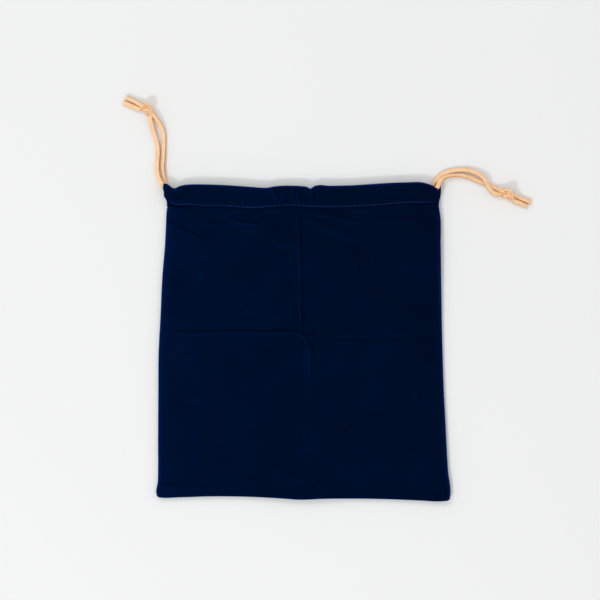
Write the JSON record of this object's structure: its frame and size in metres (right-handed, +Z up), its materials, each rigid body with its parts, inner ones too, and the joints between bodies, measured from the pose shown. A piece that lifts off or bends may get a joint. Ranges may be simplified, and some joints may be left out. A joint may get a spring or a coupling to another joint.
{
  "type": "kinchaku drawstring pouch",
  "caption": "Flat rectangular velvet pouch with a casing along its mouth and two suede laces, one knotted to itself at each top corner, lying flat.",
  "frame": {"origin": "on the surface that the pouch lies on, under the middle of its cloth", "axes": "+Z up out of the front panel, +Y towards the mouth, +X to the right seen from above"},
  "size_m": [0.2854, 0.2828, 0.0083],
  "materials": {
    "velvet": "short cotton-backed pile, matt with a blue sheen at its edges",
    "suede": "napped suede lace, matt",
    "thread": "spun sewing thread, slightly glossy"
  },
  "bodies": {
    "root": {"front_panel": "velvet", "back_panel": "velvet", "left_drawcord": "suede", "right_drawcord": "suede", "front_casing_stitching": "thread", "back_casing_stitching": "thread", "seam_stitching": "thread"}
  },
  "joints": []
}
